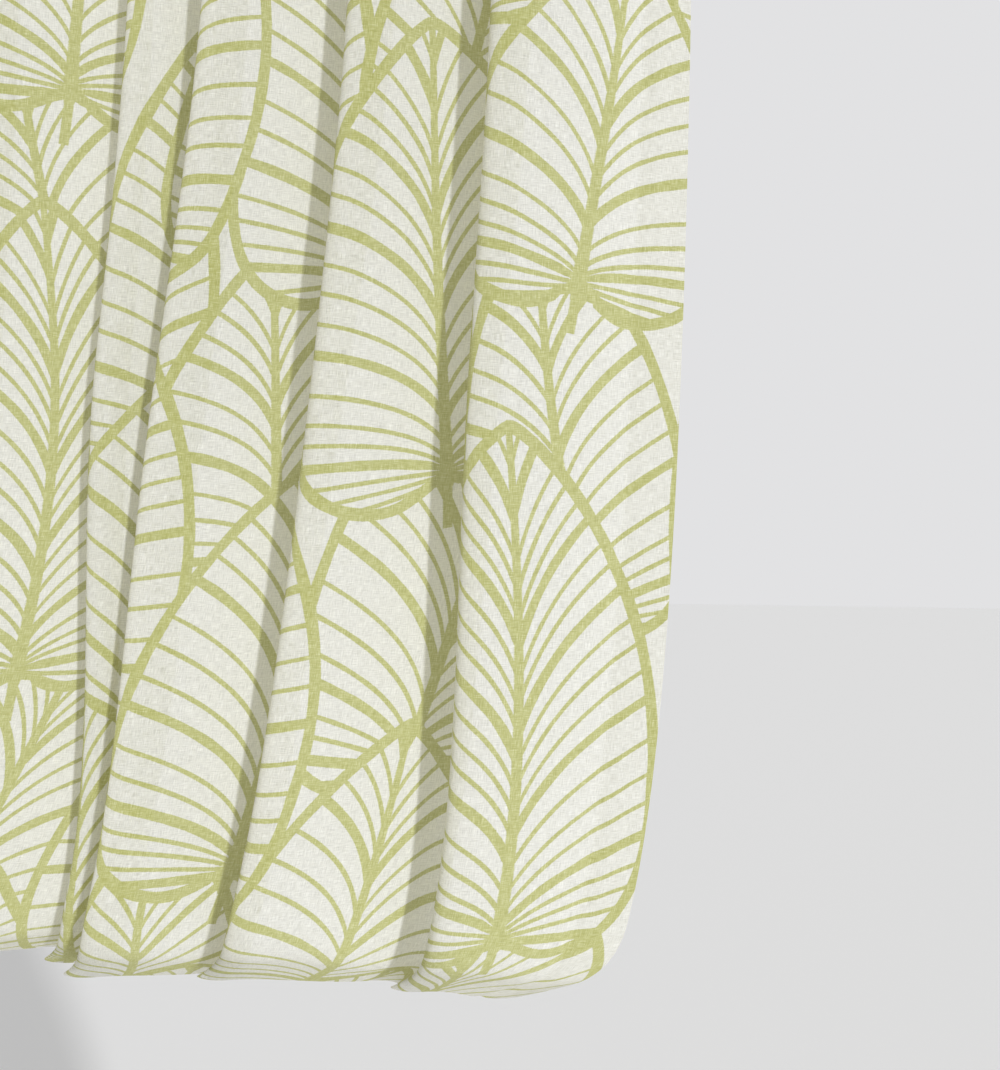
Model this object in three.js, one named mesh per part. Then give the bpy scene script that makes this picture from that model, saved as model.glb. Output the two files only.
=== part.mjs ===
// A sheer curtain panel: one length of thin cloth that hangs from its top edge in uneven soft folds.
//
// Millimetres, +Z up. The origin is the middle of the top edge, where the panel is held. +X runs along the
// panel's width to the right of someone standing in front of it, and -Y points towards that person.
//
// The cloth is one closed sheet. Every level cut through it is a chain of straight runs joined by round bends:
// a face that comes forward to a crest, and a back that returns to the valley beyond it. The chain starts at the
// right-hand side edge and is as long as the cloth is wide, so the sheet could be ironed flat again.
import * as THREE from 'three';
import { mergeVertices } from 'three/addons/utils/BufferGeometryUtils.js';

// The cloth, ironed flat
const CLOTH_WIDTH = 1400;
const CLOTH_LENGTH = 1600;
const THICKNESS = 1.2;

// The round bends: cloth taken by the bend at a crest and by the one in a valley
const CREST_BEND = 50;
const VALLEY_BEND = 40;

// Heights above the hem at which the headings in the table hold, and the height above which a run is as long as
// it stays up to the top
const STATIONS = [0, 370, 700, 1600];
const LENGTHS_SETTLE = 500;

// The folds from right to left. Cloth in a face and in a back, at the hem and higher up, and their headings at
// the stations: degrees away from the panel's width, towards the viewer in a face and away in a back. swept is
// the cloth at the foot of the fold's crest that runs on below the foot's bend.
const FOLDS = [
  { faceHem: 140, faceUp: 156, faceTurn: [38, 36, 44, 48],
    backHem: 80, backUp: 92, backTurn: [84, 97, 105, 100], swept: 55 },
  { faceHem: 152, faceUp: 136, faceTurn: [42, 42, 46, 50],
    backHem: 84, backUp: 88, backTurn: [98, 96, 106, 100], swept: 60 },
  { faceHem: 124, faceUp: 140, faceTurn: [42, 42, 44, 48],
    backHem: 80, backUp: 82, backTurn: [104, 112, 106, 102], swept: 50 },
  { faceHem: 44, faceUp: 86, faceTurn: [48, 48, 44, 49],
    backHem: 56, backUp: 62, backTurn: [100, 112, 100, 98], swept: 40 },
  { faceHem: 158, faceUp: 136, faceTurn: [42, 44, 46, 48],
    backHem: 86, backUp: 88, backTurn: [101, 101, 101, 102], swept: 45 },
  { faceHem: 140, faceUp: 126, faceTurn: [44, 44, 44, 46],
    backHem: 88, backUp: 84, backTurn: [103, 103, 99, 100], swept: 45 },
];
const LAST_FACE_TURN = [48, 46, 46, 48];

// The foot turns away from the viewer: below a round bend the cloth runs on straight and back, for less cloth in
// the valleys than at the crests. Close to the right-hand side edge it runs more to the left.
const FOOT_BEND = 60;
const FOOT_TURN = THREE.MathUtils.degToRad(62);
const FOOT_DIRECTION = THREE.MathUtils.degToRad(6);
const CORNER_DIRECTION = THREE.MathUtils.degToRad(48);
const CORNER_REACH = 80;
const SWEPT_IN_VALLEYS = 36;
const SWEPT_AT_RIGHT_EDGE = 34;
const SWEPT_AT_LEFT_EDGE = 30;

// Towards the hem the panel drifts to the left: each sway fades with height over its own reach
const SWAYS = [
  { shift: 30, reach: 70 },
  { shift: 54, reach: 300 },
];
// How far behind the top edge's line the right-hand side edge lies, at the stations
const EDGE_BEHIND = [-12, -4, 2, 0];

// How finely the sheet is faceted
const CREST_CELLS = 6;
const VALLEY_CELLS = 5;
const RUN_CELLS = 2;
const UPPER_ROWS = 11;
const FOOT_ROWS = 10;
const FOOT_ROWS_START = 170;
const STEPS_IN_A_CELL = 6;

const smooth = (t) => THREE.MathUtils.smoothstep(t, 0, 1);
const mix = THREE.MathUtils.lerp;

// A smooth curve through one value at each station
function atHeight(values, height) {
  const slope = (i) => (values[i + 1] - values[i]) / (STATIONS[i + 1] - STATIONS[i]);
  const last = STATIONS.length - 1;
  const tangents = values.map((_, i) => {
    if (i === 0) return slope(0);
    if (i === last) return slope(last - 1);
    const below = STATIONS[i] - STATIONS[i - 1];
    const above = STATIONS[i + 1] - STATIONS[i];
    return (slope(i - 1) * above + slope(i) * below) / (above + below);
  });
  const i = Math.min(Math.max(STATIONS.findLastIndex((station) => height >= station), 0), last - 1);
  const span = STATIONS[i + 1] - STATIONS[i];
  const t = (height - STATIONS[i]) / span;
  return (1 + 2 * t) * (1 - t) ** 2 * values[i]
    + t * (1 - t) ** 2 * span * tangents[i]
    + t ** 2 * (3 - 2 * t) * values[i + 1]
    - t ** 2 * (1 - t) * span * tangents[i + 1];
}

// The bends of the level cut at a height: where each is centred along the cloth, the cloth it takes, how many
// cells it gets and the headings in radians before and after it
function bendsAt(height) {
  const settled = smooth(height / LENGTHS_SETTLE);
  const runs = FOLDS.flatMap((fold) => [
    { length: mix(fold.faceHem, fold.faceUp, settled), turn: atHeight(fold.faceTurn, height) },
    { length: mix(fold.backHem, fold.backUp, settled), turn: -atHeight(fold.backTurn, height) },
  ]);
  runs.push({ turn: atHeight(LAST_FACE_TURN, height) });
  let centre = 0;
  return runs.slice(0, -1).map((run, i) => {
    centre += run.length;
    const crest = i % 2 === 0;
    return {
      centre,
      cloth: crest ? CREST_BEND : VALLEY_BEND,
      cells: crest ? CREST_CELLS : VALLEY_CELLS,
      before: THREE.MathUtils.degToRad(run.turn),
      after: THREE.MathUtils.degToRad(runs[i + 1].turn),
    };
  });
}

// The distances along the cloth at which a level cut has its corners
function corners(bends) {
  const places = [0];
  for (const bend of bends) {
    const from = places.at(-1);
    const start = bend.centre - bend.cloth / 2;
    for (let i = 1; i <= RUN_CELLS; i += 1) places.push(mix(from, start, i / RUN_CELLS));
    for (let i = 1; i <= bend.cells; i += 1) places.push(start + bend.cloth * (i / bend.cells));
  }
  const from = places.at(-1);
  for (let i = 1; i <= RUN_CELLS; i += 1) places.push(mix(from, CLOTH_WIDTH, i / RUN_CELLS));
  return places;
}

// The level cut at a height, as corners with their distance along the cloth and their place in plan
function levelCut(height) {
  const bends = bendsAt(height);
  const heading = (along) => bends.reduce(
    (angle, bend) => angle + (bend.after - bend.before) * smooth((along - bend.centre) / bend.cloth + 0.5),
    bends[0].before,
  );
  const cut = [];
  let x = -SWAYS.reduce((sum, sway) => sum + sway.shift * Math.exp(-height / sway.reach), 0);
  let y = atHeight(EDGE_BEHIND, height);
  let along = 0;
  for (const place of corners(bends)) {
    const step = (place - along) / STEPS_IN_A_CELL;
    for (let i = 0; i < STEPS_IN_A_CELL; i += 1) {
      const angle = heading(along + step * (i + 0.5));
      x -= Math.cos(angle) * step;
      y -= Math.sin(angle) * step;
    }
    along = place;
    cut.push({ along, x, y });
  }
  return cut;
}

// The cloth that runs on below the foot's bend, at a distance along the cloth
const SWEEPS = [
  { along: 0, swept: SWEPT_AT_RIGHT_EDGE },
  ...bendsAt(0).map(({ centre }, i) => (
    { along: centre, swept: i % 2 === 0 ? FOLDS[i / 2].swept : SWEPT_IN_VALLEYS }
  )),
  { along: CLOTH_WIDTH, swept: SWEPT_AT_LEFT_EDGE },
];
function sweptAt(along) {
  const next = Math.max(SWEEPS.findIndex((place) => place.along >= along), 1);
  const [from, to] = [SWEEPS[next - 1], SWEEPS[next]];
  return mix(from.swept, to.swept, smooth((along - from.along) / (to.along - from.along)));
}

// The direction in plan in which the foot runs back, at a distance along the cloth
function footDirection(along) {
  return mix(FOOT_DIRECTION, CORNER_DIRECTION, Math.exp(-((along / CORNER_REACH) ** 2)));
}

// The middle of the top edge in plan, which becomes the origin
const TOP_MIDDLE = new THREE.Box2()
  .setFromPoints(levelCut(CLOTH_LENGTH).map(({ x, y }) => new THREE.Vector2(x, y)))
  .getCenter(new THREE.Vector2());

// One row of the sheet's middle surface, at a distance below the top edge along the cloth
function sheetRow(below) {
  return levelCut(CLOTH_LENGTH - below).map(({ along, x, y }) => {
    const start = CLOTH_LENGTH - FOOT_BEND - sweptAt(along);
    const radius = FOOT_BEND / FOOT_TURN;
    const turned = THREE.MathUtils.clamp(below - start, 0, FOOT_BEND) / radius;
    const onward = Math.max(below - start - FOOT_BEND, 0);
    const back = radius * (1 - Math.cos(turned)) + onward * Math.sin(FOOT_TURN);
    const down = Math.min(below, start) + radius * Math.sin(turned) + onward * Math.cos(FOOT_TURN);
    return new THREE.Vector3(
      x - TOP_MIDDLE.x - back * Math.sin(footDirection(along)),
      y - TOP_MIDDLE.y + back * Math.cos(footDirection(along)),
      -down,
    );
  });
}

// The rows run from the top edge to the hem, closer together at the foot
function sheetRows() {
  const bottomStart = CLOTH_LENGTH - FOOT_ROWS_START;
  const upper = Array.from({ length: UPPER_ROWS }, (_, i) => bottomStart * (i / UPPER_ROWS));
  const lower = Array.from({ length: FOOT_ROWS + 1 }, (_, i) => bottomStart + FOOT_ROWS_START * (i / FOOT_ROWS));
  return [...upper, ...lower].map(sheetRow);
}

// A closed sheet of even thickness around a grid of points
function thickSheet(rows, thickness) {
  const height = rows.length;
  const width = rows[0].length;
  const point = (row, column) => rows[row][column];
  const across = new THREE.Vector3();
  const down = new THREE.Vector3();
  const sides = [1, -1].map((side) => rows.flatMap((line, row) => line.map((middle, column) => {
    across.subVectors(point(row, Math.min(column + 1, width - 1)), point(row, Math.max(column - 1, 0)));
    down.subVectors(point(Math.min(row + 1, height - 1), column), point(Math.max(row - 1, 0), column));
    const outwards = new THREE.Vector3().crossVectors(across, down).normalize();
    return middle.clone().addScaledVector(outwards, side * thickness / 2);
  })));
  const index = [];
  const front = (row, column) => row * width + column;
  const back = (row, column) => height * width + row * width + column;
  const quad = (a, b, c, d) => index.push(a, b, c, a, c, d);
  for (let row = 0; row < height - 1; row += 1) {
    for (let column = 0; column < width - 1; column += 1) {
      quad(front(row, column), front(row, column + 1), front(row + 1, column + 1), front(row + 1, column));
      quad(back(row, column), back(row + 1, column), back(row + 1, column + 1), back(row, column + 1));
    }
    const end = width - 1;
    quad(front(row, 0), front(row + 1, 0), back(row + 1, 0), back(row, 0));
    quad(front(row, end), back(row, end), back(row + 1, end), front(row + 1, end));
  }
  for (let column = 0; column < width - 1; column += 1) {
    const end = height - 1;
    quad(front(0, column), back(0, column), back(0, column + 1), front(0, column + 1));
    quad(front(end, column), front(end, column + 1), back(end, column + 1), back(end, column));
  }
  const geometry = new THREE.BufferGeometry().setFromPoints(sides.flat());
  geometry.setIndex(index);
  return mergeVertices(geometry);
}

function panel() {
  const cloth = new THREE.MeshStandardMaterial({ color: 0xeeede6, roughness: 0.9, metalness: 0 });
  const mesh = new THREE.Mesh(thickSheet(sheetRows(), THICKNESS), cloth);
  mesh.name = 'panel';
  return mesh;
}

const curtain = new THREE.Group();
curtain.add(panel());

export default curtain;
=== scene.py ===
"""A sheer curtain panel with a large line-drawn leaf print, hanging in soft uneven folds."""

import math

import bpy
import numpy as np
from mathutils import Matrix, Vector


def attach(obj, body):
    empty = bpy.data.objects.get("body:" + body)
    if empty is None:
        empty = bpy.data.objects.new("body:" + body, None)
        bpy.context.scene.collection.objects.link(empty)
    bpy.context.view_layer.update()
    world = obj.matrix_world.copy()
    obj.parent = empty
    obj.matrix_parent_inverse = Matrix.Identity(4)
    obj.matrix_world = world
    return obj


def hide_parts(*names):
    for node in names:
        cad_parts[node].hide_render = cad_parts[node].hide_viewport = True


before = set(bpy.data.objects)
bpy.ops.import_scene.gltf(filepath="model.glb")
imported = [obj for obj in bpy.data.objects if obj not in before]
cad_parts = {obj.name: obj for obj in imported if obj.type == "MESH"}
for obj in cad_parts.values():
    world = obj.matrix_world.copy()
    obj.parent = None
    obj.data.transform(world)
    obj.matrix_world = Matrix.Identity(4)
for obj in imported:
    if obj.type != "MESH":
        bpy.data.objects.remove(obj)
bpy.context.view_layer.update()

# ---------------------------------------------------------------- the cloth
# Lengths in metres. These are the same named sizes and the same table as in the panel's own source.
CLOTH_WIDTH = 1.4
CLOTH_LENGTH = 1.6
CREST_BEND = 0.050  # cloth in the bend from a face to its back
VALLEY_BEND = 0.040  # and in the bend from a back to the next face
STATIONS = (0.0, 0.37, 0.70, 1.6)  # heights above the hem where headings are given
LENGTHS_SETTLE = 0.50  # height where the cloth in each face and back no longer changes
# The folds from the right: cloth in a face and in a back, at the hem and higher up, their headings at the
# stations, in degrees away from the panel's width, and the cloth that runs on below the foot's bend.
FOLDS = (
    dict(face_hem=.140, face_up=.156, face_turn=(38, 36, 44, 48),
         back_hem=.080, back_up=.092, back_turn=(84, 97, 105, 100), swept=.055),
    dict(face_hem=.152, face_up=.136, face_turn=(42, 42, 46, 50),
         back_hem=.084, back_up=.088, back_turn=(98, 96, 106, 100), swept=.060),
    dict(face_hem=.124, face_up=.140, face_turn=(42, 42, 44, 48),
         back_hem=.080, back_up=.082, back_turn=(104, 112, 106, 102), swept=.050),
    dict(face_hem=.044, face_up=.086, face_turn=(48, 48, 44, 49),
         back_hem=.056, back_up=.062, back_turn=(100, 112, 100, 98), swept=.040),
    dict(face_hem=.158, face_up=.136, face_turn=(42, 44, 46, 48),
         back_hem=.086, back_up=.088, back_turn=(101, 101, 101, 102), swept=.045),
    dict(face_hem=.140, face_up=.126, face_turn=(44, 44, 44, 46),
         back_hem=.088, back_up=.084, back_turn=(103, 103, 99, 100), swept=.045),
)
LAST_FACE_TURN = (48, 46, 46, 48)
# The foot turns away in a bend of this length and angle, and runs on straight, to the left of straight back.
# Near the right corner, within CORNER_REACH of it, it points further left.
FOOT_BEND = 0.060
FOOT_TURN = math.radians(62)
FOOT_DIRECTION = math.radians(6)
CORNER_DIRECTION = math.radians(48)
CORNER_REACH = 0.080
SWEPT_IN_VALLEYS = 0.036
SWEPT_AT_RIGHT_EDGE = 0.034
SWEPT_AT_LEFT_EDGE = 0.030
# How far the whole cloth shifts to the left at the hem, fading upwards, and how far behind its right edge
# lies at the stations
SWAYS = (dict(shift=.030, reach=.070), dict(shift=.054, reach=.300))
EDGE_BEHIND = (-.012, -.004, .002, .0)

# The side hem's seam, which is the first row, and soft creases: ridges where height is more than 0, troughs
# where it is less
CREASES = (
    dict(along=.040, lean=.000, top=-.10, bottom=1.70, half_width=.006, height=-.0012),
    dict(along=.024, lean=.006, top=.40, bottom=1.12, half_width=.008, height=.0016),
    dict(along=.058, lean=.010, top=.30, bottom=1.06, half_width=.009, height=.0018),
    dict(along=.096, lean=-.020, top=.55, bottom=.98, half_width=.010, height=-.0012),
    dict(along=.030, lean=-.010, top=1.36, bottom=1.54, half_width=.009, height=.0014),
    dict(along=.310, lean=.030, top=.62, bottom=1.02, half_width=.010, height=.0012),
    dict(along=.520, lean=.020, top=1.08, bottom=1.46, half_width=.011, height=-.0012),
    dict(along=.760, lean=-.015, top=.50, bottom=1.10, half_width=.010, height=.0014),
    dict(along=1.050, lean=.010, top=.30, bottom=.90, half_width=.010, height=.0014),
    dict(along=1.230, lean=-.010, top=.70, bottom=1.40, half_width=.011, height=-.0014),
)
CREASE_FADE = 0.16  # of cloth, over which a crease begins or ends

COLUMNS = 330
ROWS = 285
WALK_STEPS = 3  # steps of the walk along a level cut, for each column


def smooth(t):
    t = np.clip(t, 0, 1)
    return t * t * (3 - 2 * t)


def at_height(values, height):
    """A smooth curve through one value at each station, at an array of heights."""
    values = np.asarray(values, float)
    stations = np.asarray(STATIONS)
    spans = np.diff(stations)
    slopes = np.diff(values) / spans
    inner = (slopes[:-1] * spans[1:] + slopes[1:] * spans[:-1]) / (spans[:-1] + spans[1:])
    tangents = np.concatenate([slopes[:1], inner, slopes[-1:]])
    i = np.clip(np.searchsorted(stations, height, side="right") - 1, 0, len(spans) - 1)
    span = spans[i]
    t = (height - stations[i]) / span
    return (
        (1 + 2 * t) * (1 - t) ** 2 * values[i]
        + t * (1 - t) ** 2 * span * tangents[i]
        + t ** 2 * (3 - 2 * t) * values[i + 1]
        - t ** 2 * (1 - t) * span * tangents[i + 1]
    )


def bends_at(height):
    """Each bend of the level cuts: its centre along the cloth at each height, and the headings around it."""
    settled = smooth(height / LENGTHS_SETTLE)
    lengths = []
    turns = []
    for fold in FOLDS:
        lengths.append(fold["face_hem"] + (fold["face_up"] - fold["face_hem"]) * settled)
        turns.append(at_height(fold["face_turn"], height))
        lengths.append(fold["back_hem"] + (fold["back_up"] - fold["back_hem"]) * settled)
        turns.append(-at_height(fold["back_turn"], height))
    turns.append(at_height(LAST_FACE_TURN, height))
    return np.cumsum(lengths, axis=0), np.radians(turns)


def plan(height, along):
    """The level cuts' x and y in plan, in rows by height and columns by distance along the cloth."""
    centres, turns = bends_at(height)
    steps = (len(along) - 1) * WALK_STEPS
    middle = (np.arange(steps) + 0.5) * CLOTH_WIDTH / steps
    heading = np.repeat(turns[0][:, None], steps, axis=1)
    for i, centre in enumerate(centres):
        cloth = CREST_BEND if i % 2 == 0 else VALLEY_BEND
        bend = smooth((middle[None, :] - centre[:, None]) / cloth + 0.5)
        heading += (turns[i + 1] - turns[i])[:, None] * bend
    start = np.zeros((len(height), 1))
    x = np.hstack([start, -np.cumsum(np.cos(heading), axis=1)]) * CLOTH_WIDTH / steps
    y = np.hstack([start, -np.cumsum(np.sin(heading), axis=1)]) * CLOTH_WIDTH / steps
    shift = sum(sway["shift"] * np.exp(-height / sway["reach"]) for sway in SWAYS)
    x += -shift[:, None]
    y += at_height(EDGE_BEHIND, height)[:, None]
    return x[:, ::WALK_STEPS], y[:, ::WALK_STEPS]


def swept_at(along):
    """The cloth that runs on below the foot's bend, at each distance along the cloth."""
    places = np.concatenate([[0], bends_at(np.zeros(1))[0][:, 0], [CLOTH_WIDTH]])
    sweeps = [SWEPT_AT_RIGHT_EDGE]
    for fold in FOLDS:
        sweeps += [fold["swept"], SWEPT_IN_VALLEYS]
    sweeps = np.array([*sweeps, SWEPT_AT_LEFT_EDGE])
    i = np.clip(np.searchsorted(places, along, side="left"), 1, len(places) - 1)
    t = smooth((along - places[i - 1]) / (places[i] - places[i - 1]))
    return sweeps[i - 1] + (sweeps[i] - sweeps[i - 1]) * t


def cloth_points(along, below):
    """The sheet's middle surface at each distance below the top edge and from the right edge."""
    x, y = plan(CLOTH_LENGTH - below, along)
    top_x, top_y = plan(np.array([CLOTH_LENGTH]), np.linspace(0, CLOTH_WIDTH, COLUMNS + 1))
    start = CLOTH_LENGTH - FOOT_BEND - swept_at(along)[None, :]
    radius = FOOT_BEND / FOOT_TURN
    below = below[:, None]
    turned = np.clip(below - start, 0, FOOT_BEND) / radius
    onward = np.maximum(below - start - FOOT_BEND, 0)
    back = radius * (1 - np.cos(turned)) + onward * math.sin(FOOT_TURN)
    down = np.minimum(below, start) + radius * np.sin(turned) + onward * math.cos(FOOT_TURN)
    corner = np.exp(-(along / CORNER_REACH) ** 2)[None, :]
    direction = FOOT_DIRECTION + (CORNER_DIRECTION - FOOT_DIRECTION) * corner
    return np.stack([
        x - (top_x.max() + top_x.min()) / 2 - back * np.sin(direction),
        y - (top_y.max() + top_y.min()) / 2 + back * np.cos(direction),
        -down,
    ], axis=-1)


def creased(points, along, below):
    """The same points moved along the sheet's normal by its seam and its soft creases."""
    across = np.gradient(points, axis=1)
    down = np.gradient(points, axis=0)
    normal = np.cross(across, down)
    normal /= np.linalg.norm(normal, axis=2, keepdims=True)
    height = np.zeros(points.shape[:2])
    for crease in CREASES:
        middle = crease["along"] + crease["lean"] * (below[:, None] - crease["top"])
        profile = np.exp(-((along[None, :] - middle) / crease["half_width"]) ** 2)
        begins = smooth((below[:, None] - crease["top"]) / CREASE_FADE + 0.5)
        ends = smooth((crease["bottom"] - below[:, None]) / CREASE_FADE + 0.5)
        height += crease["height"] * profile * begins * ends
    return points + normal * height[..., None]


def grid_mesh(name, points, along, below):
    """A mesh of quads on a grid of points, facing the viewer, with the flat cloth's own UV map."""
    rows, columns = points.shape[:2]
    mesh = bpy.data.meshes.new(name)
    corner = np.arange(rows * columns).reshape(rows, columns)
    quads = np.stack([corner[:-1, :-1], corner[:-1, 1:], corner[1:, 1:], corner[1:, :-1]], axis=-1)
    quads = quads.reshape(-1, 4)
    mesh.vertices.add(rows * columns)
    mesh.vertices.foreach_set("co", points.reshape(-1))
    mesh.loops.add(quads.size)
    mesh.loops.foreach_set("vertex_index", quads.reshape(-1))
    mesh.polygons.add(len(quads))
    mesh.polygons.foreach_set("loop_start", np.arange(0, quads.size, 4))
    mesh.polygons.foreach_set("use_smooth", np.ones(len(quads), bool))
    mesh.update(calc_edges=True)
    flat = np.stack(np.broadcast_arrays(along[None, :], below[:, None]), axis=-1).reshape(-1, 2)
    uv = mesh.uv_layers.new(name="flat_cloth")
    uv.uv.foreach_set("vector", flat[quads.reshape(-1)].astype(np.float32).reshape(-1))
    piece = bpy.data.objects.new(name, mesh)
    bpy.context.scene.collection.objects.link(piece)
    return piece


# ---------------------------------------------------------------- the print
# Large leaves drawn in lines, of four kinds. A kind has its length and half width, the bow of its midrib to
# the left, how full its shoulders are and how far its lobes dip below the base. Its veins rise with
# rise * ln(1 + lateral / bend), and root is the share of that rise at the base. The smaller fan is, the
# further its lowest veins spread. Last comes the length of its stalk.
LEAF_KINDS = dict(
    broad=dict(length=.310, half_width=.122, bow=.004, fullness=.78, dip=.020,
               rise=.052, bend=.016, root=.45, fan=.150, stalk=.036),
    tall=dict(length=.345, half_width=.108, bow=-.006, fullness=.76, dip=.018,
              rise=.070, bend=.022, root=.50, fan=.140, stalk=.034),
    slim=dict(length=.285, half_width=.084, bow=.008, fullness=.82, dip=.015,
              rise=.046, bend=.018, root=.45, fan=.130, stalk=.036),
    small=dict(length=.240, half_width=.104, bow=.000, fullness=.86, dip=.018,
               rise=.044, bend=.015, root=.42, fan=.150, stalk=.030),
)
# A half-drop layout, front leaves first. A row places one leaf on the flat cloth: its base, along
# from the right edge and below the top, the tilt of its tip to the left in degrees, and where the rhythm of
# its veins starts, in bars.
LEAF_ROWS = (
    dict(kind="broad", along=.275, below=1.200, tilt=9, start=.12),
    dict(kind="slim", along=.670, below=1.045, tilt=-12, start=.58),
    dict(kind="small", along=.085, below=1.075, tilt=-8, start=.33),
    dict(kind="tall", along=.880, below=1.345, tilt=6, start=.81),
    dict(kind="broad", along=.485, below=1.480, tilt=-7, start=.47),
    dict(kind="small", along=.690, below=1.590, tilt=14, start=.05),
    dict(kind="tall", along=.100, below=1.510, tilt=5, start=.66),
    dict(kind="slim", along=.300, below=.985, tilt=-15, start=.92),
    dict(kind="broad", along=.900, below=.925, tilt=-5, start=.24),
    dict(kind="slim", along=.060, below=1.300, tilt=12, start=.73),
    dict(kind="tall", along=.465, below=1.060, tilt=4, start=.39),
    dict(kind="broad", along=.705, below=1.390, tilt=-10, start=.17),
    dict(kind="small", along=.290, below=1.610, tilt=-4, start=.86),
    dict(kind="slim", along=.870, below=1.130, tilt=16, start=.51),
    dict(kind="broad", along=.090, below=.880, tilt=7, start=.09),
    dict(kind="tall", along=.275, below=1.405, tilt=-9, start=.62),
    dict(kind="small", along=.495, below=1.275, tilt=11, start=.28),
    dict(kind="tall", along=.680, below=1.205, tilt=3, start=.95),
    dict(kind="broad", along=.885, below=1.560, tilt=-13, start=.43),
    dict(kind="slim", along=.510, below=.860, tilt=8, start=.77),
)
LEAVES = tuple({**LEAF_KINDS[row["kind"]], **row} for row in LEAF_ROWS)
REPEAT_ALONG = 1.0
REPEAT_BELOW = .85
REPEATS_ALONG = (-1, 0, 1)  # the repeats that reach the cloth
REPEATS_BELOW = (1, 0, -1)
WIDEST = .30  # of the leaf's length above its base
LOBE_NOTCH = .24  # of its half width
LOBE_POWER = 3.4  # how square the lobes are
STEEPEST = .95  # of its length above its base, where its veins rise most
CROWDED = .030  # of midrib above the base, over which the lowest veins draw together into a fan
OTHER_HALF_START = .37  # of a bar: the right half's veins don't mirror the left half's
STALK_HALF = .0038
MIDRIB_HALF_BASE = .0048
MIDRIB_HALF_TIP = .0024
ROOT_SPREAD = dict(wider=.5, reach=.012)  # the midrib widens towards the base
OUTLINE_HALF = .0041
BAR = .350  # the veins' rhythm, along the midrib: where each leaves it, and half its width
VEINS = (
    (.000, .0035), (.020, .0016), (.036, .0015), (.055, .0017), (.078, .0033),
    (.095, .0015), (.112, .0016), (.128, .0015), (.149, .0036), (.168, .0016),
    (.184, .0015), (.206, .0032), (.222, .0016), (.240, .0017), (.257, .0015),
    (.281, .0035), (.299, .0016), (.314, .0015), (.330, .0016),
)
# Towards a leaf's tip its veins leave the midrib further apart: from start, of its length, over reach
TIP_ZONE = dict(start=.74, reach=.030, sparser=.45)
HALVINGS = 22  # of the search for the vein through a point
SEARCH_END = 1.3  # of a leaf's length, past which no vein is looked for
LEAST_SPACING = .15  # of their distance on the midrib, the least that veins are taken to be apart
OUTLINE_POINTS = 90
SHORTEST = 1e-12  # an outline step's least squared length, so that nothing is divided by zero
LAYERS = 3  # leaves that can overlap on one quad
LEAF_MARGIN = .060  # of flat cloth searched around a leaf, for its tilt and stalk
STALK_ZONE = .012  # to each side of the stalk
STALK_END = -.040  # the inside field where a stalk ends
NEAR = .012  # outside a leaf's outline, where a quad still carries that leaf
NEAR_MIDRIB = 3.0  # in the midrib field, the same for its stalk
BEYOND = 9.0  # the midrib field past the leaf's tip
NO_LEAF = (-.09, BEYOND, 0.0, 1.0)  # the four fields where no leaf is near
QUARTER_TURN = np.pi / 2


def outline_of(leaf):
    """Half of a leaf's outline, lateral and upward: the shoulder from its tip, and the lobe to its base."""
    angle = np.linspace(0, QUARTER_TURN, OUTLINE_POINTS)
    length, half_width, dip = leaf["length"], leaf["half_width"], leaf["dip"]
    widest = WIDEST * length
    shoulder = np.stack([
        half_width * np.sin(angle),
        length - (angle / QUARTER_TURN) ** (1 / leaf["fullness"]) * (length - widest),
    ], axis=1)
    lateral = half_width * np.sin(angle[::-1])
    lobe = np.stack([
        lateral,
        widest - (widest + dip) * (1 - (lateral / half_width) ** LOBE_POWER) ** (1 / LOBE_POWER)
        + dip * np.exp(-(lateral / (LOBE_NOTCH * half_width)) ** 2),
    ], axis=1)
    return shoulder, lobe


def inside_distance(leaf, lateral, up):
    """How far points lie inside a leaf's outline, negative outside it."""
    shoulder, lobe = outline_of(leaf)
    path = np.concatenate([shoulder, lobe[1:]])
    side = np.abs(lateral)
    nearest = np.full(side.shape, np.inf)
    for start, end in zip(path[:-1], path[1:]):
        step = end - start
        share = ((side - start[0]) * step[0] + (up - start[1]) * step[1]) / max(step @ step, SHORTEST)
        share = np.clip(share, 0, 1)
        gap = np.hypot(side - start[0] - share * step[0], up - start[1] - share * step[1])
        nearest = np.minimum(nearest, gap)
    top = np.interp(side, shoulder[:, 0], shoulder[:, 1])
    bottom = np.interp(side, lobe[::-1, 0], lobe[::-1, 1])
    inside = (side < leaf["half_width"]) & (up < top) & (up > bottom)
    return np.where(inside, nearest, -nearest)


def vein_veer(leaf, vein, rise):
    """How far up a vein has come, its share of the rise, and how fast its place changes from vein to vein."""
    root = np.hypot(vein, CROWDED)
    leaves_at = (vein + root) / 2
    leaves_slope = (1 + vein / root) / 2
    steepest = STEEPEST * leaf["length"]
    off = leaves_at / steepest - 1
    steepness = 1 - (1 - leaf["root"]) * off ** 2 + (vein - leaves_at) / leaf["fan"]
    fan_slope = (1 - leaves_slope) / leaf["fan"]
    steepness_slope = -2 * (1 - leaf["root"]) * off / steepest * leaves_slope + fan_slope
    return leaves_at + steepness * rise, steepness, leaves_slope + steepness_slope * rise


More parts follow.
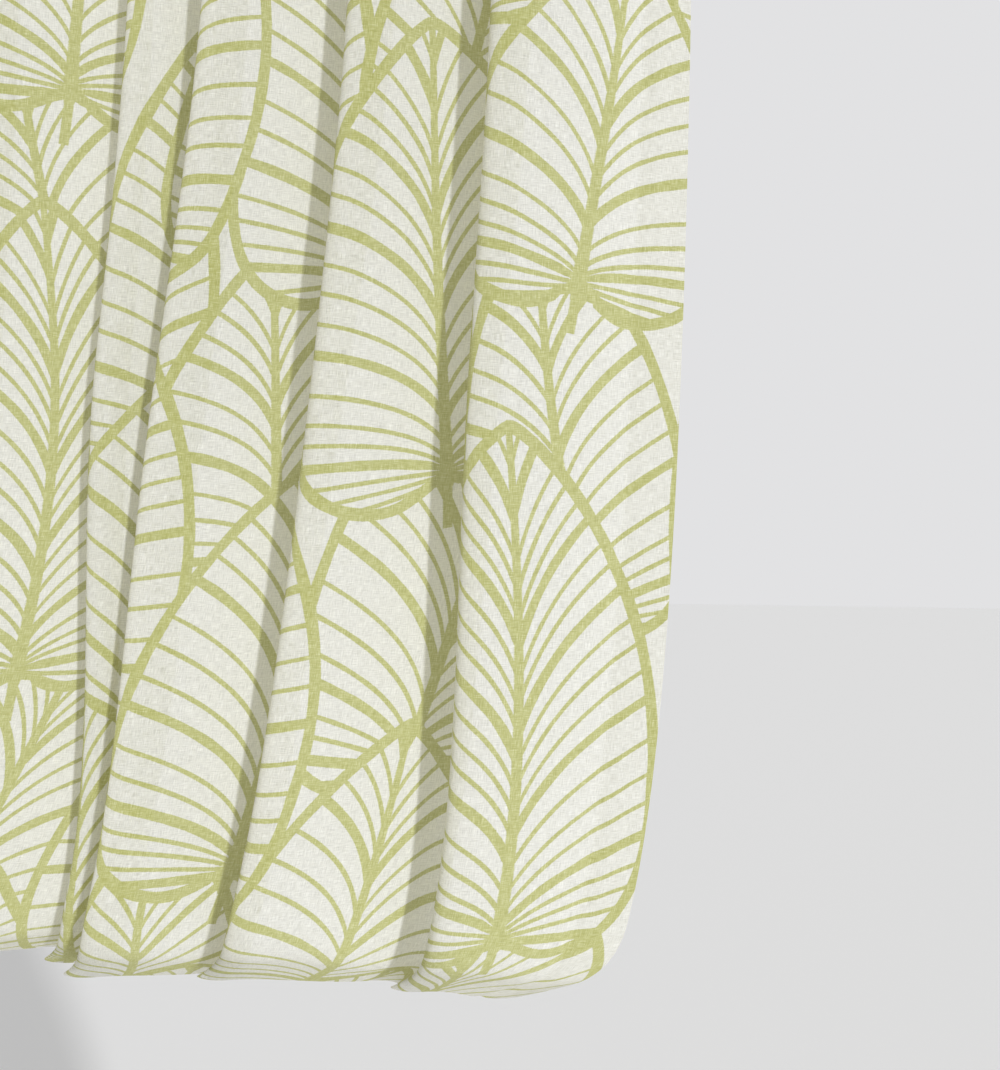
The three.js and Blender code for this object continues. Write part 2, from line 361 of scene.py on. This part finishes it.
def vein_through(leaf, lateral, up):
    """The vein through each point, as a place along the midrib, and how fast that place changes per metre."""
    lateral = np.maximum(lateral, -leaf["bend"] / 2)
    rise = leaf["rise"] * np.log1p(lateral / leaf["bend"])
    low = np.full(up.shape, -leaf["length"])
    high = np.full(up.shape, leaf["length"] * SEARCH_END)
    for _ in range(HALVINGS):
        middle = (low + high) / 2
        above = vein_veer(leaf, middle, rise)[0] > up
        high = np.where(above, middle, high)
        low = np.where(above, low, middle)
    vein = (low + high) / 2
    _, steepness, spacing = vein_veer(leaf, vein, rise)
    slope = steepness * leaf["rise"] / (leaf["bend"] + lateral)
    return vein, np.hypot(1, slope) / np.maximum(np.abs(spacing), LEAST_SPACING)


def midrib_place(leaf, lateral, up):
    """Signed distance from the midrib and stalk, 1 at their edge."""
    share = np.clip(up / leaf["length"], 0, 1)
    half = np.where(up < 0, STALK_HALF, MIDRIB_HALF_BASE + (MIDRIB_HALF_TIP - MIDRIB_HALF_BASE) * share)
    root = np.exp(-np.maximum(up, 0) / ROOT_SPREAD["reach"]) * (up > -STALK_HALF)
    return lateral / (half * (1 + ROOT_SPREAD["wider"] * root))


def leaf_fields(leaf, across, down):
    """A leaf's four fields at points of the flat cloth, for both of its halves, and where the points lie."""
    tilt = math.radians(leaf["tilt"])
    left = across - leaf["along"]
    above = leaf["below"] - down
    up = left * math.sin(tilt) + above * math.cos(tilt)
    lateral = left * math.cos(tilt) - above * math.sin(tilt)
    inside = inside_distance(leaf, lateral, up)
    share = np.clip(up / leaf["length"], 0, 1)
    lateral = lateral - leaf["bow"] * 4 * share * (1 - share)
    on_stalk = (np.abs(lateral) < STALK_ZONE) & (up < -OUTLINE_HALF * 2)
    inside = np.where(on_stalk, STALK_END * -up / leaf["stalk"], inside)
    midrib = midrib_place(leaf, lateral, up)
    halves = []
    for side, start in ((1, leaf["start"]), (-1, leaf["start"] + OTHER_HALF_START)):
        vein, slope = vein_through(leaf, side * lateral, up)
        past = vein - TIP_ZONE["start"] * leaf["length"]
        root = np.hypot(past, TIP_ZONE["reach"])
        vein = vein - TIP_ZONE["sparser"] * (past + root) / 2
        slope = slope * (1 - TIP_ZONE["sparser"] * (1 + past / root) / 2)
        halves.append(np.stack([inside, midrib, vein / BAR + start, slope / BAR], axis=-1))
    return halves[0], halves[1], lateral, up


def corners_of(field):
    """The values at each quad's four corners, in the order of its corners."""
    return np.stack([field[:-1, :-1], field[:-1, 1:], field[1:, 1:], field[1:, :-1]], axis=2)


def print_layers(along, below):
    """The fields of the leaves on each quad: layers from the front, rows, columns, corners and fields."""
    rows, columns = len(below) - 1, len(along) - 1
    layers = np.empty((LAYERS, rows, columns, 4, 4))
    layers[...] = NO_LEAF
    used = np.zeros((rows, columns), int)
    for leaf in LEAVES:
        for repeat_along in REPEATS_ALONG:
            for repeat_below in REPEATS_BELOW:
                copy = dict(leaf)
                copy["along"] += repeat_along * REPEAT_ALONG
                copy["below"] += repeat_below * REPEAT_BELOW
                wide = copy["half_width"] + LEAF_MARGIN
                columns_near = np.flatnonzero(np.abs(along - copy["along"]) < wide)
                above = copy["below"] - below
                rows_near = np.flatnonzero((above > -LEAF_MARGIN) & (above < copy["length"] + LEAF_MARGIN))
                if len(columns_near) < 2 or len(rows_near) < 2:
                    continue
                across, down = np.meshgrid(along[columns_near], below[rows_near])
                left_half, right_half, lateral, up = leaf_fields(copy, across, down)
                is_left = corners_of(lateral).mean(axis=2) > 0
                fields = np.where(is_left[:, :, None, None], corners_of(left_half), corners_of(right_half))
                past_tip = corners_of(up).max(axis=2) > copy["length"]
                fields[past_tip, :, 1] = BEYOND
                inside = fields[..., 0]
                midrib = np.abs(fields[..., 1]).min(axis=2)
                on_stalk = (midrib < NEAR_MIDRIB) & (inside.max(axis=2) > STALK_END)
                touches = (inside.max(axis=2) > -NEAR) | on_stalk
                hidden = inside.min(axis=2) > OUTLINE_HALF
                window = np.ix_(rows_near[:-1], columns_near[:-1])
                layer = used[window]
                for k in range(LAYERS):
                    r, c = np.nonzero(touches & (layer == k))
                    layers[k, rows_near[r], columns_near[c]] = fields[r, c]
                layer = layer + touches
                layer[touches & hidden] = LAYERS
                used[window] = layer
    return layers


def add_print(piece, layers):
    for k, layer in enumerate(layers):
        attribute = piece.data.attributes.new(f"leaf_{k + 1}", "FLOAT_COLOR", "CORNER")
        attribute.data.foreach_set("color", layer.astype(np.float32).reshape(-1))


along = np.linspace(0, CLOTH_WIDTH, COLUMNS + 1)
below = np.linspace(0, CLOTH_LENGTH, ROWS + 1)
sheet_points = creased(cloth_points(along, below), along, below)
sheer = grid_mesh("sheer_panel", sheet_points, along, below)
add_print(sheer, print_layers(along, below))


# ---------------------------------------------------------------- material
# Colours are linear: the face's, and those of light that comes through. Lengths are metres of flat cloth.
CLOTH_WHITE = (.795, .80, .81, 1)
PRINT_GREEN = (.565, .58, .235, 1)
THROUGH_WHITE = (.80, .765, .46, 1)
THROUGH_GREEN = (.47, .45, .15, 1)
CLOTH_ROUGHNESS = 0.9
INK_SOFTNESS = .0005  # over which a stroke's edge fades
YARN = .0007  # from one yarn to the next
THROUGH_SHARE = .38  # of the cloth's shading that is light coming through it
GAP_SHARE = .10  # of the cloth that is open between the yarns
GAPS_VARY = .6  # with the weave
INK_CLOSES = .6  # of the gaps
HEM_CLOSES = .8  # of the gaps
EDGE_RAGGED = .0004  # how far a stroke's edge strays
RAGGED_YARNS = 1.6  # from one stray to the next
WIDTH_WANDERS = .14  # of a stroke's width
WANDERS_PER_METRE = 45
YARN_WANDERS = .62  # of a yarn, over which its shade changes across
SLUB = 10  # yarns, over which it changes lengthways
WEAVE_TONE = .30  # how much the yarns change the cloth's shade
WEAVE_HEIGHT = .00012
INK_MOTTLED = .34  # how much the yarns change the ink
INK_THINNED = INK_MOTTLED / 4
SIDE_HEM = .040  # turned over and sewn along the right edge, where the cloth lies double
# Painted shade: the side hem's face colour is made darker, standing in for the shade where the cloth lies
# double and less light comes through
HEM_PAINTED_SHADE = .055
STITCH = dict(along=.0388, half=.0006, period=.0042, share=.62, tone=.05)


class Shader:
    """Short forms for the nodes of one material."""

    def __init__(self, material):
        material.use_nodes = True
        self.nodes = material.node_tree.nodes
        self.links = material.node_tree.links
        self.nodes.clear()

    def feed(self, socket, value):
        if isinstance(value, bpy.types.NodeSocket):
            self.links.new(value, socket)
        else:
            socket.default_value = value

    def math(self, operation, *values, clamp=False):
        node = self.nodes.new("ShaderNodeMath")
        node.operation = operation
        node.use_clamp = clamp
        for socket, value in zip(node.inputs, values):
            self.feed(socket, value)
        return node.outputs[0]

    def both(self, first, second):
        return self.math("MULTIPLY", first, second)

    def either(self, first, second):
        return self.math("MAXIMUM", first, second)

    def soft_step(self, distance, softness):
        """0 to 1 as a distance passes zero."""
        return self.math("MULTIPLY_ADD", distance, 1 / softness, 0.5, clamp=True)

    def noise(self, place, scale, detail=0.0, roughness=0.5):
        """Noise from -1 to 1 or so."""
        node = self.nodes.new("ShaderNodeTexNoise")
        self.feed(node.inputs["Vector"], place)
        node.inputs["Scale"].default_value = scale
        node.inputs["Detail"].default_value = detail
        node.inputs["Roughness"].default_value = roughness
        return self.math("MULTIPLY_ADD", node.outputs["Fac"], 2.0, -1.0)

    def stretched(self, place, along, below):
        node = self.nodes.new("ShaderNodeVectorMath")
        node.operation = "MULTIPLY"
        self.feed(node.inputs[0], place)
        node.inputs[1].default_value = (along, below, 1)
        return node.outputs[0]

    def mix(self, share, first, second):
        node = self.nodes.new("ShaderNodeMix")
        node.data_type = "RGBA"
        self.feed(node.inputs["Factor"], share)
        self.feed(node.inputs["A"], first)
        self.feed(node.inputs["B"], second)
        return node.outputs["Result"]

    def mix_shader(self, share, first, second):
        node = self.nodes.new("ShaderNodeMixShader")
        self.feed(node.inputs[0], share)
        self.links.new(first, node.inputs[1])
        self.links.new(second, node.inputs[2])
        return node.outputs[0]


def vein_table(shader, phase):
    """The nearest vein's place in the bar and half width, from the rhythm's table."""
    ramp = shader.nodes.new("ShaderNodeValToRGB")
    shader.links.new(phase, ramp.inputs[0])
    table = ramp.color_ramp
    table.interpolation = "CONSTANT"
    veins = [*VEINS, (BAR, VEINS[0][1])]
    table.elements[0].color = (veins[0][0] / BAR, veins[0][1], 0, 1)
    table.elements.remove(table.elements[1])
    for (before, _), (place, half) in zip(veins[:-1], veins[1:]):
        element = table.elements.new((before + place) / 2 / BAR)
        element.color = (place / BAR, half, 0, 1)
    table.elements[0].position = 0
    parts = shader.nodes.new("ShaderNodeSeparateColor")
    shader.links.new(ramp.outputs[0], parts.inputs[0])
    return parts.outputs[0], parts.outputs[1]


def leaf_ink(shader, layer, ragged, wander):
    """One layer's strokes, and the cloth that its leaf covers."""
    fields = shader.nodes.new("ShaderNodeAttribute")
    fields.attribute_name = f"leaf_{layer + 1}"
    parts = shader.nodes.new("ShaderNodeSeparateColor")
    shader.links.new(fields.outputs["Color"], parts.inputs[0])
    inside, midrib, phase = parts.outputs
    place = shader.math("FRACT", phase)
    vein_place, vein_half = vein_table(shader, place)
    off = shader.math("DIVIDE", shader.math("ABSOLUTE", shader.math("SUBTRACT", place, vein_place)),
                      fields.outputs["Alpha"])
    half = shader.math("MULTIPLY_ADD", vein_half, wander, ragged)
    within = shader.soft_step(inside, INK_SOFTNESS)
    vein = shader.both(shader.soft_step(shader.math("SUBTRACT", half, off), INK_SOFTNESS), within)
    edge = shader.math("MULTIPLY_ADD", wander, OUTLINE_HALF, ragged)
    outline = shader.soft_step(shader.math("SUBTRACT", edge, shader.math("ABSOLUTE", inside)), INK_SOFTNESS)
    on_rib = shader.math("SUBTRACT", 1.0, shader.math("ABSOLUTE", midrib))
    rib = shader.soft_step(shader.math("MULTIPLY_ADD", on_rib, MIDRIB_HALF_TIP, ragged), INK_SOFTNESS)
    rib = shader.both(rib, shader.math("GREATER_THAN", inside, STALK_END))
    stroke = shader.either(shader.either(vein, outline), rib)
    return stroke, shader.either(stroke, within)


def print_ink(shader, flat_cloth):
    ragged = shader.both(shader.noise(flat_cloth, 1 / (RAGGED_YARNS * YARN), detail=1.0), EDGE_RAGGED)
    wander = shader.math("MULTIPLY_ADD", shader.noise(flat_cloth, WANDERS_PER_METRE), WIDTH_WANDERS, 1.0)
    ink, free = 0.0, 1.0
    for layer in range(LAYERS):
        stroke, covered = leaf_ink(shader, layer, ragged, wander)
        ink = shader.math("MULTIPLY_ADD", stroke, free, ink, clamp=True)
        free = shader.both(free, shader.math("SUBTRACT", 1.0, covered))
    return ink


def side_hem(shader, along, below):
    """Where the cloth lies double in the side hem, and the light dashes of the seam along it."""
    hem = shader.soft_step(shader.math("SUBTRACT", SIDE_HEM, along), 2 * YARN)
    off = shader.math("ABSOLUTE", shader.math("SUBTRACT", along, STITCH["along"]))
    seam = shader.soft_step(shader.math("SUBTRACT", STITCH["half"], off), YARN)
    dash = shader.math("LESS_THAN", shader.math("FRACT", shader.math("DIVIDE", below, STITCH["period"])),
                       STITCH["share"])
    return hem, shader.both(seam, dash)


def cloth_material():
    material = bpy.data.materials.new("sheer_cloth")
    shader = Shader(material)
    flat_map = shader.nodes.new("ShaderNodeUVMap")
    flat_map.uv_map = "flat_cloth"
    flat_cloth = flat_map.outputs[0]
    ink = print_ink(shader, flat_cloth)
    across, lengthways = 1 / (YARN_WANDERS * YARN), 1 / (SLUB * YARN)
    upright = shader.noise(shader.stretched(flat_cloth, across, lengthways), 1.0, detail=1.0)
    level = shader.noise(shader.stretched(flat_cloth, lengthways, across), 1.0, detail=1.0)
    weave = shader.math("ADD", upright, level)
    parts = shader.nodes.new("ShaderNodeSeparateXYZ")
    shader.feed(parts.inputs[0], flat_cloth)
    hem, stitch = side_hem(shader, parts.outputs[0], parts.outputs[1])
    tone = shader.math("MULTIPLY_ADD", weave, WEAVE_TONE, 1.0)
    # painted shade: the face colour is darker over the side hem
    tone = shader.math("MULTIPLY_ADD", hem, -HEM_PAINTED_SHADE, tone)
    tone = shader.math("MULTIPLY_ADD", stitch, STITCH["tone"], tone)
    mottled = shader.math("MULTIPLY_ADD", weave, -INK_MOTTLED, 1 - INK_THINNED, clamp=True)
    ink = shader.both(ink, mottled)
    colour = shader.mix(ink, CLOTH_WHITE, PRINT_GREEN)
    through_colour = shader.mix(ink, THROUGH_WHITE, THROUGH_GREEN)
    relief = shader.nodes.new("ShaderNodeBump")
    relief.inputs["Distance"].default_value = WEAVE_HEIGHT
    shader.feed(relief.inputs["Height"], weave)
    front = shader.nodes.new("ShaderNodeBsdfDiffuse")
    front.inputs["Roughness"].default_value = CLOTH_ROUGHNESS
    shader.links.new(relief.outputs[0], front.inputs["Normal"])
    woven = shader.nodes.new("ShaderNodeVectorMath")
    woven.operation = "SCALE"
    shader.feed(woven.inputs[0], colour)
    shader.feed(woven.inputs["Scale"], tone)
    shader.feed(front.inputs["Color"], woven.outputs[0])
    through = shader.nodes.new("ShaderNodeBsdfTranslucent")
    shader.feed(through.inputs["Color"], through_colour)
    clear = shader.nodes.new("ShaderNodeBsdfTransparent")
    cloth = shader.mix_shader(THROUGH_SHARE, front.outputs[0], through.outputs[0])
    gaps = shader.both(shader.math("MULTIPLY_ADD", weave, -GAPS_VARY, 1.0), GAP_SHARE)
    gaps = shader.both(gaps, shader.math("MULTIPLY_ADD", ink, -INK_CLOSES, 1.0))
    gaps = shader.both(gaps, shader.math("MULTIPLY_ADD", hem, -HEM_CLOSES, 1.0))
    out = shader.nodes.new("ShaderNodeOutputMaterial")
    shader.links.new(shader.mix_shader(gaps, cloth, clear.outputs[0]), out.inputs[0])
    return material


sheer.data.materials.append(cloth_material())
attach(sheer, "root")
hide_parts("panel")

# ---------------------------------------------------------------- stage, light and camera
AZIMUTH = math.radians(11)
CAMERA_PLACE = (0.447, -1.182, -1.195)
LENS = 60.6
SHIFT_DOWN = 0.061
SENSOR_WIDTH = 36
FLOOR_HEIGHT = -2.4
FLOOR_SIZE = 30
FLOOR_ROUGHNESS = 0.9
FLOOR_WHITE = (.84, .84, .84, 1)
WORLD_LIGHT = (.74, .74, .74, 1)
WORLD_STRENGTH = 0.80
BACKDROP = (.76, .76, .77, 1)


def sun(name, azimuth, elevation, angle, strength, colour):
    light = bpy.data.lights.new(name, "SUN")
    light.angle = math.radians(angle)
    light.energy = strength
    light.color = colour
    lamp = bpy.data.objects.new(name, light)
    a, e = math.radians(azimuth), math.radians(elevation)
    towards_lamp = Vector((math.sin(a) * math.cos(e), -math.cos(a) * math.cos(e), math.sin(e)))
    lamp.rotation_euler = towards_lamp.to_track_quat("Z", "Y").to_euler()
    bpy.context.scene.collection.objects.link(lamp)


def pale_floor():
    bpy.ops.mesh.primitive_plane_add(size=FLOOR_SIZE, location=(0, 0, FLOOR_HEIGHT))
    floor = bpy.context.object
    floor.name = "floor"
    material = bpy.data.materials.new("pale_floor")
    material.use_nodes = True
    surface = material.node_tree.nodes["Principled BSDF"]
    surface.inputs["Base Color"].default_value = FLOOR_WHITE
    surface.inputs["Roughness"].default_value = FLOOR_ROUGHNESS
    floor.data.materials.append(material)


def studio_world():
    """Even light from all round, and a pale backdrop for the camera, a gloss or a see-through piece."""
    world = bpy.data.worlds.new("studio")
    world.use_nodes = True
    nodes, links = world.node_tree.nodes, world.node_tree.links
    lighting = nodes["Background"]
    lighting.inputs["Color"].default_value = WORLD_LIGHT
    lighting.inputs["Strength"].default_value = WORLD_STRENGTH
    backdrop = nodes.new("ShaderNodeBackground")
    backdrop.inputs["Color"].default_value = BACKDROP
    rays = nodes.new("ShaderNodeLightPath")
    seen = rays.outputs["Is Camera Ray"]
    for kind in ("Is Glossy Ray", "Is Transmission Ray"):
        either = nodes.new("ShaderNodeMath")
        either.operation = "MAXIMUM"
        links.new(seen, either.inputs[0])
        links.new(rays.outputs[kind], either.inputs[1])
        seen = either.outputs[0]
    mix = nodes.new("ShaderNodeMixShader")
    links.new(seen, mix.inputs[0])
    links.new(lighting.outputs[0], mix.inputs[1])
    links.new(backdrop.outputs[0], mix.inputs[2])
    links.new(mix.outputs[0], nodes["World Output"].inputs["Surface"])
    bpy.context.scene.world = world


pale_floor()
studio_world()
sun("key", azimuth=32, elevation=20, angle=2.3, strength=2.42, colour=(1, 1, 1))

camera = bpy.data.objects.new("camera", bpy.data.cameras.new("camera"))
camera.data.lens = LENS
camera.data.sensor_width = SENSOR_WIDTH
camera.data.shift_y = -SHIFT_DOWN
camera.location = CAMERA_PLACE
camera.rotation_euler = (math.pi / 2, 0, AZIMUTH)
bpy.context.scene.collection.objects.link(camera)
bpy.context.scene.camera = camera
bpy.context.scene.view_settings.view_transform = "Standard"
